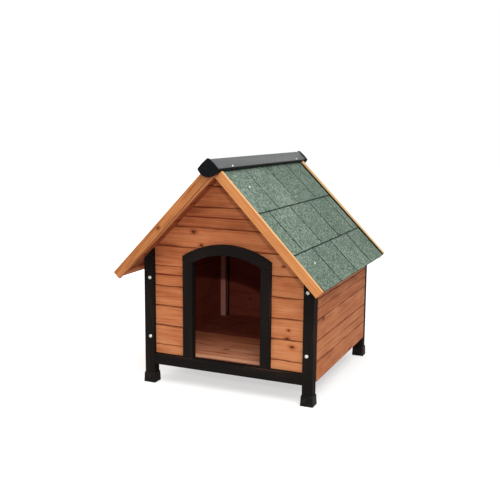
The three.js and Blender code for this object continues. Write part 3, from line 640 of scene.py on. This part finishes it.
FELT_APEX = 751 * MM
FELT_COURSES = (0, 200.7 * MM, 367.1 * MM, 507.5 * MM)
FELT_FRONT, FELT_REAR = [corner.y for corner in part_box("right_roof_felt")]
FELT_END_GAP = 3.4 * MM  # underlay that shows between the tabs and a barge board, a black line of painted shade
FELT_EAVE_DROP = 13.4 * MM
UNDERLAY_DEPTH, UNDERLAY_THICKNESS = 1.7 * MM, 1.2 * MM
UNDERLAY_SHORT = 1.3 * MM  # of the tabs' edge at the eave
UPSTAND_FROM = 37 * MM  # down the slope, just clear of the ridge cap
UPSTAND_THICKNESS, UPSTAND_HEIGHT = 1.6 * MM, 4.5 * MM
RIDGE_SLIT = 3 * MM
TAB_THICKNESS = 1.5 * MM
TAB_WIDTH = 186 * MM
FIRST_SLITS = (-176 * MM, -268 * MM, -187 * MM)
SLIT_WIDTHS = (4.5 * MM, 8.5 * MM)
TAB_WAVE = 1.6 * MM  # how far a tab's cut edges stray
TAB_GRID = (24, 26)  # faces across and down a tab
SIDE_WAVES, EAVE_WAVES = (2, 9), 7  # how fast a tab's sides and its lower edge wander
TAB_CURL = 0.3  # how unevenly a tab lies, as a share of how far its edges stray
TAB_FACING = 0.7  # least cosine for the faces that carry granules
ELSEWHERE = 50  # takes each tab to its own part of the noise
LAP = 14 * MM
GRANULE = 3.2 * MM  # real ones are about 1 mm: drawn coarser, or they blend into one even colour
FINE_GRIT, CLUSTER, WASH = 1.2 * MM, 10 * MM, 110 * MM
BITUMEN_DUST = 3 * MM
LAP_SHADOW = (2.5 * MM, 5.5 * MM)  # from a lap to where its dark line begins to fade, and to where it ends


def on_slope(side, y, down, depth):
    """The point of a slope this far down from the apex, and this deep under the felt's highest surface."""
    point = down_slope[side] * down - out_of_slope[side] * depth
    return Vector((point.x, y, FELT_APEX + point.z))


def mineral_felt(tree):
    """Slate granules pressed in bitumen: dull and rough, speckled pale and dark, washed unevenly, and with a
    darker painted shadow line under each lap."""
    place = add(tree, "TexCoord").outputs["Object"]
    tone = add(tree, "Attribute", attribute_name="tab_tone").outputs["Fac"]
    below_lap = add(tree, "Attribute", attribute_name="below_lap").outputs["Fac"]
    grit = add(tree, "TexVoronoi", {"Vector": place, "Scale": 1 / GRANULE})
    grit_tone = add(tree, "SeparateColor", [grit.outputs["Color"]])
    fine_grit = add(tree, "TexNoise", {"Vector": place, "Scale": 1 / FINE_GRIT, "Detail": 1})
    cluster = add(tree, "TexNoise", {"Vector": place, "Scale": 1 / CLUSTER, "Detail": 3})
    wash = add(tree, "TexNoise", {"Vector": place, "Scale": 1 / WASH, "Detail": 3})
    amount = -0.41
    for value, share in ((grit_tone, 0.62), (fine_grit, 0.5), (cluster, 0.4), (wash, 0.24), (tone, 0.03)):
        amount = add(tree, "Math", [value, share, amount], operation="MULTIPLY_ADD")
    granules = add(
        tree, "ValToRGB", [amount],
        stops=[(0.08, "#35433b"), (0.4, "#5d6f62"), (0.6, "#738577"), (0.92, "#b0bcae")],
    )
    lap_shadow_share = add(tree, "MapRange", [below_lap, *LAP_SHADOW, 0.9, 0])
    return add(tree, "BsdfPrincipled", {
        "Base Color": add(tree, "MixRGB", [lap_shadow_share, granules, linear("#161c18")]),
        "Roughness": 0.95,
        "Specular IOR Level": 0.15,
        "Normal": add(tree, "Bump", {"Height": grit, "Strength": 0.6, "Distance": 0.9 * MM}, invert=True),
    })


def bitumen(tree):
    """Bare bitumen: black and dull, lightly dusted."""
    place = add(tree, "TexCoord").outputs["Object"]
    dust = add(tree, "TexNoise", {"Vector": place, "Scale": 1 / BITUMEN_DUST, "Detail": 4})
    return add(tree, "BsdfPrincipled", {
        "Base Color": add(tree, "ValToRGB", [dust], stops=[(0.35, "#101110"), (0.7, "#272b27")]),
        "Roughness": 0.85,
        "Specular IOR Level": 0.15,
        "Normal": add(tree, "Bump", {"Height": dust, "Strength": 0.4, "Distance": 0.4 * MM}),
    })


FELT = new_material("green_mineral_felt", mineral_felt)
# Bitumen for the underlay and the tabs' cut edges; where it shows in the slits, at the eave and against the
# rear barge boards, its black also stands in as painted shade.
BITUMEN_AND_SHADE = new_material("black_bitumen_and_painted_shade", bitumen)


def felt_tab(side, y_from, y_to, top, bottom, stray):
    """One tab: a thin sheet that starts under the course above and rises to lie on the course below."""
    tab = bmesh.new()
    bmesh.ops.create_grid(tab, x_segments=TAB_GRID[0], y_segments=TAB_GRID[1], size=0.5)
    for vert in tab.verts:
        across, down = vert.co.x + 0.5, vert.co.y + 0.5
        place = Vector((across * SIDE_WAVES[0], down * SIDE_WAVES[1], y_from * ELSEWHERE))
        edge_wave = stray * noise.noise(place)
        place = Vector((across * EAVE_WAVES, y_from * ELSEWHERE, bottom * ELSEWHERE))
        eave_wave = stray * noise.noise(place)
        y = y_from + (y_to - y_from) * across + edge_wave * (2 * across - 1)
        along_slope = top + (bottom - top) * down - abs(eave_wave) * down
        depth = TAB_THICKNESS * (1 - down) + TAB_CURL * abs(edge_wave) * down
        vert.co = on_slope(side, y, along_slope, depth)
    bmesh.ops.recalc_face_normals(tab, faces=tab.faces)
    if sum(face.normal.dot(out_of_slope[side]) for face in tab.faces) < 0:
        bmesh.ops.reverse_faces(tab, faces=tab.faces)
    bmesh.ops.solidify(tab, geom=tab.faces[:], thickness=TAB_THICKNESS)
    for face in tab.faces:
        face.material_index = int(face.normal.dot(out_of_slope[side]) < TAB_FACING)
    return tab


for side in SIDES:
    eave = FELT_COURSES[-1] - UNDERLAY_SHORT
    behind_eave = eave - UNDERLAY_THICKNESS
    over, under, drop = UNDERLAY_DEPTH, UNDERLAY_DEPTH + UNDERLAY_THICKNESS, FELT_EAVE_DROP
    section = [(RIDGE_SLIT, over), (eave, over), (eave, drop)]
    section += [(behind_eave, drop), (behind_eave, under), (RIDGE_SLIT, under)]
    underlay = bmesh.new()
    outline = [underlay.verts.new(on_slope(side, FELT_FRONT, down, depth)) for down, depth in section]
    sheet = bmesh.ops.extrude_face_region(underlay, geom=[underlay.faces.new(outline)])
    drawn = [made for made in sheet["geom"] if isinstance(made, bmesh.types.BMVert)]
    bmesh.ops.translate(underlay, verts=drawn, vec=Y * (FELT_REAR - FELT_FRONT))
    bmesh.ops.recalc_face_normals(underlay, faces=underlay.faces)
    node = f"{side}_roof_felt"
    add_piece(f"{side}_felt_underlay", underlay, [BITUMEN_AND_SHADE], "house", [node])

    # Against the rear barge board, it shows as a black line: painted shade for the dark gap there.
    upstand = bmesh.new()
    bmesh.ops.create_cube(upstand, size=1)
    for vert in upstand.verts:
        share = vert.co + Vector((0.5, 0.5, 0.5))
        down = UPSTAND_FROM + (eave - UPSTAND_FROM) * share.x
        depth = over - HAIR - (over + UPSTAND_HEIGHT) * share.z
        vert.co = on_slope(side, FELT_REAR - UPSTAND_THICKNESS * (1 - share.y), down, depth)
    bmesh.ops.recalc_face_normals(upstand, faces=upstand.faces)
    add_piece(f"{side}_felt_upstand_painted_shade", upstand, [BITUMEN_AND_SHADE], "house", [node])

    for course, (top, bottom) in enumerate(zip(FELT_COURSES, FELT_COURSES[1:])):
        slits = [FIRST_SLITS[course] + TAB_WIDTH * number for number in range(4)]
        slits = [y for y in slits if y < FELT_REAR]
        cuts = random.Random(f"{side}{course}")
        half_slits = [cuts.uniform(*SLIT_WIDTHS) / 2 for y in slits]
        starts = [FELT_FRONT + FELT_END_GAP] + [y + half for y, half in zip(slits, half_slits)]
        stops = [y - half for y, half in zip(slits, half_slits)] + [FELT_REAR - FELT_END_GAP]
        strip = bmesh.new()
        tone_layer = strip.verts.layers.float.new("tab_tone")
        lap_layer = strip.verts.layers.float.new("below_lap")
        for number, (y_from, y_to) in enumerate(zip(starts, stops)):
            luck = random.Random(f"{side}{course}{number}")
            tab_tone = luck.uniform(-1, 1)
            hidden_top = max(top - LAP, RIDGE_SLIT)
            tab = felt_tab(side, y_from, y_to, hidden_top, bottom, TAB_WAVE)
            mesh = bpy.data.meshes.new("tab")
            tab.to_mesh(mesh)
            tab.free()
            before = len(strip.verts)
            strip.from_mesh(mesh)
            bpy.data.meshes.remove(mesh)
            strip.verts.ensure_lookup_table()
            for vert in strip.verts[before:]:
                vert[tone_layer] = tab_tone
                vert[lap_layer] = (vert.co - Z * FELT_APEX).dot(down_slope[side]) - top
        name = f"{side}_felt_course_{course + 1}"
        add_piece(name, strip, [FELT, BITUMEN_AND_SHADE], "house", [node])


# ---- Ridge cap and end plates ----
# An extruded grey plastic angle bent over the ridge, its edges turned in to stand on the felt. Black moulded
# plates plug its ends.

CAP_ARRIS = 0.8 * MM
BENT = math.radians(28)  # least angle that still shows as an edge
DRAWING_LINES = (2 * MM, 166.67 * MM, 2 * MM)  # width, length and width: drawn wider than the die leaves them
CAP_DUST = 35 * MM


def extruded_plastic(tree):
    """Extruded plastic: dark grey with a soft sheen, faint drawing lines along it, and a little dust."""
    place = add(tree, "TexCoord").outputs["Object"]
    drawn = add(tree, "VectorMath", [place, [1 / size for size in DRAWING_LINES]], operation="MULTIPLY")
    lines = add(tree, "TexNoise", {"Vector": drawn, "Scale": 1, "Detail": 3})
    dust = add(tree, "TexNoise", {"Vector": place, "Scale": 1 / CAP_DUST, "Detail": 5})
    dusty = add(tree, "Math", [dust, 0.65], operation="MULTIPLY")
    clouded = add(tree, "Math", [lines, 0.35, dusty], operation="MULTIPLY_ADD")
    return add(tree, "BsdfPrincipled", {
        "Base Color": add(tree, "ValToRGB", [clouded], stops=[(0.35, "#404243"), (0.65, "#575959")]),
        "Roughness": add(tree, "MapRange", [dust, 0.3, 0.7, 0.36, 0.52]),
        "Normal": add(tree, "Bump", {"Height": lines, "Strength": 0.2, "Distance": 0.1 * MM}),
        "Specular IOR Level": 0.35,
    })


CAP_PLASTIC = new_material("extruded_grey_pvc", extruded_plastic)
PLATE_PLASTIC = new_material("moulded_black_abs", moulded_plastic, "#08090c", "#171a20")
# Painted shade: a black band along the cap's lower edges, where it meets the felt.
SHADED_CAP_EDGE_PLASTIC = new_material("black_cap_edge_painted_shade", moulded_plastic, "#0d0d0d", "#1c1c1b")
SHADED_CAP_EDGE_WIDTH = 3 * MM  # a black band along both edges of the cap, where they rest on the felt: painted shade

mouldings = [("ridge_cap", [CAP_PLASTIC, SHADED_CAP_EDGE_PLASTIC], "ridge_cap_plastic")]
mouldings += [(f"{end}_ridge_end_plate", [PLATE_PLASTIC], "end_plate_plastic") for end in ENDS]
for node, materials, slot in mouldings:
    shape = whole_shape(node)
    ease_arrises(shape, CAP_ARRIS)
    if node == "ridge_cap":
        shade_band_from = reach(shape, down_slope["right"])[1] - SHADED_CAP_EDGE_WIDTH
        for side in SIDES:
            bmesh.ops.bisect_plane(
                shape, geom=[*shape.verts, *shape.edges, *shape.faces], dist=CUT_WITHIN,
                plane_co=down_slope[side] * shade_band_from, plane_no=down_slope[side],
            )
        for face in shape.faces:
            middle = face.calc_center_median()
            face.material_index = int(max(middle.dot(down) for down in down_slope.values()) > shade_band_from)
    piece = add_piece(f"{node}_moulding", shape, materials, "house", [node])
    piece.data.shade_smooth()
    piece.data.set_sharp_from_angle(angle=BENT)


# ---- Bolts and screws ----
# Zinc-plated steel. Pan-headed bolts with a hexagon socket hold the posts to the corner battens, and
# cross-recessed screws hold the roof down on the rafters and the cap on the ridge.

HEAD_STEPS = 48
HEAD_DOME = ((0.62, 0.97), (0.82, 0.78), (0.95, 0.5), (1.0, 0.2), (1.0, 0.0))  # shares of radius and of rise
RECESS = ((0.5, 1.0), (1.0, 0.8), (1.05, 0.05))  # shares of its size, and of its depth under the top
SHANK = (0.5, 3 * MM)  # share of the head's radius, and length
BOLT_HEAD, BOLT_RISE = 6 * MM, 3.6 * MM
SOCKET, SOCKET_DEPTH = 2.4 * MM, 2.2 * MM
SCREW_HEAD, SCREW_RISE = 3.3 * MM, 2 * MM
CROSS, CROSS_DEPTH = 2.1 * MM, 1.2 * MM
CROSS_ARM, CROSS_CORE = 0.2, 0.34  # half an arm's width and the least radius, as shares of its size
HEAD_CREASE = math.radians(40)
ZINC_CLOUD = 2 * MM


def hexagon(angle):
    """A hexagon's outline, one unit from its middle to its flats."""
    sixth = math.pi / 3
    return 1 / math.cos((angle + sixth / 2) % sixth - sixth / 2)


def cross(angle):
    """A cross recess's outline, one unit from its middle to the ends of its arms."""
    quarter = math.pi / 2
    off_arm = abs((angle + quarter / 2) % quarter - quarter / 2)
    return max(CROSS_CORE, min(1.0, CROSS_ARM / max(math.sin(off_arm), 0.01)))  # 0.01 avoids a nought


def fastener(radius, rise, outline, recess_size, recess_depth):
    """A domed head with a recess, its seat at the origin and its top towards +Z, on a short shank."""
    rings = [(recess_size * size, outline, rise - recess_depth * deep) for size, deep in RECESS]
    rings += [(radius * share, lambda angle: 1, rise * height) for share, height in HEAD_DOME]
    rings += [(radius * SHANK[0], lambda angle: 1, height) for height in (0.0, -SHANK[1])]
    shape = bmesh.new()
    ring = bmesh.ops.create_circle(shape, cap_ends=True, segments=HEAD_STEPS, radius=1)["verts"]
    rim = shape.edges[:]
    for number, (size, ring_outline, height) in enumerate(rings):
        if number:
            made = bmesh.ops.extrude_edge_only(shape, edges=rim)["geom"]
            ring = [item for item in made if isinstance(item, bmesh.types.BMVert)]
            on_ring = set(ring)
            edges = [item for item in made if isinstance(item, bmesh.types.BMEdge)]
            rim = [edge for edge in edges if on_ring.issuperset(edge.verts)]
        for vert in ring:
            angle = math.atan2(vert.co.y, vert.co.x)
            out = size * ring_outline(angle)
            vert.co = Vector((math.cos(angle) * out, math.sin(angle) * out, height))
    bmesh.ops.edgeloop_fill(shape, edges=rim)
    bmesh.ops.recalc_face_normals(shape, faces=shape.faces)
    return shape


def zinc_plate(tree):
    """Bright zinc plating on pressed steel: pale and slightly cloudy, with a soft metal shine."""
    place = add(tree, "TexCoord").outputs["Object"]
    cloud = add(tree, "TexNoise", {"Vector": place, "Scale": 1 / ZINC_CLOUD, "Detail": 3})
    return add(tree, "BsdfPrincipled", {
        "Base Color": add(tree, "ValToRGB", [cloud], stops=[(0.3, "#dddad2"), (0.7, "#f4f2ee")]),
        "Roughness": add(tree, "MapRange", [cloud, 0.3, 0.7, 0.3, 0.5]),
        "Metallic": 0.6,
    })


ZINC = new_material("bright_zinc_plated_steel", zinc_plate)


def drive(name, shape, seat, outward, turn, replaced=()):
    """Puts a fastener in its place, head outwards, with its recess turned by an angle."""
    stand = outward.to_track_quat("Z", "Y").to_matrix().to_4x4()
    place = Matrix.Translation(seat) @ stand @ Matrix.Rotation(turn, 4, "Z")
    bmesh.ops.transform(shape, matrix=place, verts=shape.verts)
    piece = add_piece(name, shape, [ZINC], "house", replaced)
    piece.data.shade_smooth()
    piece.data.set_sharp_from_angle(angle=HEAD_CREASE)


turns = random.Random(5)  # how far round each recess stopped
post_face, rear_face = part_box("front_left_post")[0].y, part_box("rear_left_post")[1].y
for side in SIDES:
    for level in ("lower", "upper"):
        node = f"front_{side}_{level}_bolt"
        low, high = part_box(node)
        middle = (low + high) / 2
        for end, face, outward, replaced in (("front", post_face, -Y, [node]), ("rear", rear_face, Y, [])):
            bolt = fastener(BOLT_HEAD, BOLT_RISE, hexagon, SOCKET, SOCKET_DEPTH)
            seat = Vector((middle.x, face, middle.z))
            drive(f"{end}_{side}_{level}_bolt_head", bolt, seat, outward, turns.uniform(0, 1), replaced)

# Where each screw stands on both slopes: along the house, down the slope, and its depth under the felt.
CAP_STAND_OFF = 14 * MM
PRESSED_IN = 1 * MM
SCREWS = {
    "upper_roof": (-251 * MM, 102 * MM, PRESSED_IN),
    "lower_roof": (-261 * MM, 417 * MM, PRESSED_IN),
    "front_cap": (-282 * MM, 24 * MM, -CAP_STAND_OFF),
    "rear_cap": (298 * MM, 24 * MM, -CAP_STAND_OFF),
}
for side in SIDES:
    for name, (y, down, depth) in SCREWS.items():
        screw = fastener(SCREW_HEAD, SCREW_RISE, cross, CROSS, CROSS_DEPTH)
        seat = on_slope(side, y, down, depth)
        drive(f"{side}_{name}_screw", screw, seat, out_of_slope[side], turns.uniform(0, 1))


# ---- Studio floor, light and camera ----
# A pale floor that stays white to the camera outside the house's own soft shadow. Light comes evenly from
# all round, more from two softboxes above, and a small lamp near the camera reaches in through the doorway.

FLOOR_HALF_WIDTH = 15  # metres
UNDER_FEET = 0.2 * MM
FLOOR_GLOW = 0.55  # at the house, for the camera only
GLOW_FADE = (1.0, 3.2)  # metres from the house over which the glow rises to full white


def studio_floor(tree):
    """Matt pale floor. The camera sees it lifted to white, and less so near the house, to keep the shadow."""
    place = add(tree, "TexCoord").outputs["Object"]
    away = add(tree, "VectorMath", [place], operation="LENGTH").outputs["Value"]
    glow = add(tree, "MapRange", [away, *GLOW_FADE, FLOOR_GLOW, 1.0])
    seen = add(tree, "LightPath").outputs["Is Camera Ray"]
    strength = add(tree, "Math", [glow, seen], operation="MULTIPLY")
    matt = add(tree, "BsdfDiffuse", {"Color": linear("#c8c8c6")})
    return add(tree, "AddShader", [matt, add(tree, "Emission", {"Strength": strength})])


ground = bmesh.new()
bmesh.ops.create_grid(ground, x_segments=1, y_segments=1, size=FLOOR_HALF_WIDTH)
bmesh.ops.translate(ground, verts=ground.verts, vec=-UNDER_FEET * Z)
mesh = bpy.data.meshes.new("studio_floor")
ground.to_mesh(mesh)
ground.free()
mesh.materials.append(new_material("matt_pale_floor", studio_floor))
floor = bpy.data.objects.new("studio_floor", mesh)
scene.collection.objects.link(floor)

AMBIENT = 0.56
world = bpy.data.worlds.new("studio")
scene.world = world
world.use_nodes = True
tree = world.node_tree
tree.nodes.clear()
paths = add(tree, "LightPath")
seen = paths.outputs["Is Camera Ray"]
for other in ("Is Glossy Ray", "Is Transmission Ray"):
    seen = add(tree, "Math", [seen, paths.outputs[other]], operation="MAXIMUM")
soft, white = [
    add(tree, "Background", {"Color": (1, 1, 1, 1), "Strength": strength}) for strength in (AMBIENT, 1.0)
]
add(tree, "OutputWorld", {"Surface": add(tree, "MixShader", [seen, soft, white])})

HOUSE_MIDDLE = Vector((0, 0, 0.35))
LAMPS = {  # place and diameter in metres, and watts. The last is small, for the arch's clear shadow inside.
    "overhead_softbox": ((1.2, -1.7, 2.9), 2.4, 76),
    "rear_softbox": ((-1.7, 2.4, 2.4), 2, 40),
    "camera_lamp": ((1.1, -2.66, 1.32), 0.06, 18),
}
for name, (place, diameter, watts) in LAMPS.items():
    data = bpy.data.lights.new(name, "AREA")
    data.shape = "DISK"
    data.size = diameter
    data.energy = watts
    lamp = bpy.data.objects.new(name, data)
    scene.collection.objects.link(lamp)
    lamp.location = place
    lamp.rotation_euler = (HOUSE_MIDDLE - Vector(place)).to_track_quat("-Z", "Y").to_euler()

CAMERA_PLACE = Vector((1014.9, -2437.9, 868.6)) * MM
AZIMUTH, ELEVATION, ROLL = [math.radians(angle) for angle in (23.269, 9.299, 0.489)]
FOCAL_PIXELS, PICTURE_PIXELS = 761.6, 500  # the focal length for a picture this wide
SENSOR_WIDTH = 36

level = Vector((math.cos(AZIMUTH), math.sin(AZIMUTH), 0))
back = Vector((math.sin(AZIMUTH), -math.cos(AZIMUTH), 0)) * math.cos(ELEVATION) + Z * math.sin(ELEVATION)
upright = back.cross(level)
right = level * math.cos(ROLL) + upright * math.sin(ROLL)
up = upright * math.cos(ROLL) - level * math.sin(ROLL)
camera_data = bpy.data.cameras.new("camera")
camera_data.sensor_width = SENSOR_WIDTH
camera_data.lens = SENSOR_WIDTH * FOCAL_PIXELS / PICTURE_PIXELS
camera = bpy.data.objects.new("camera", camera_data)
scene.collection.objects.link(camera)
camera.matrix_world = Matrix.Translation(CAMERA_PLACE) @ Matrix((right, up, back)).transposed().to_4x4()
scene.camera = camera
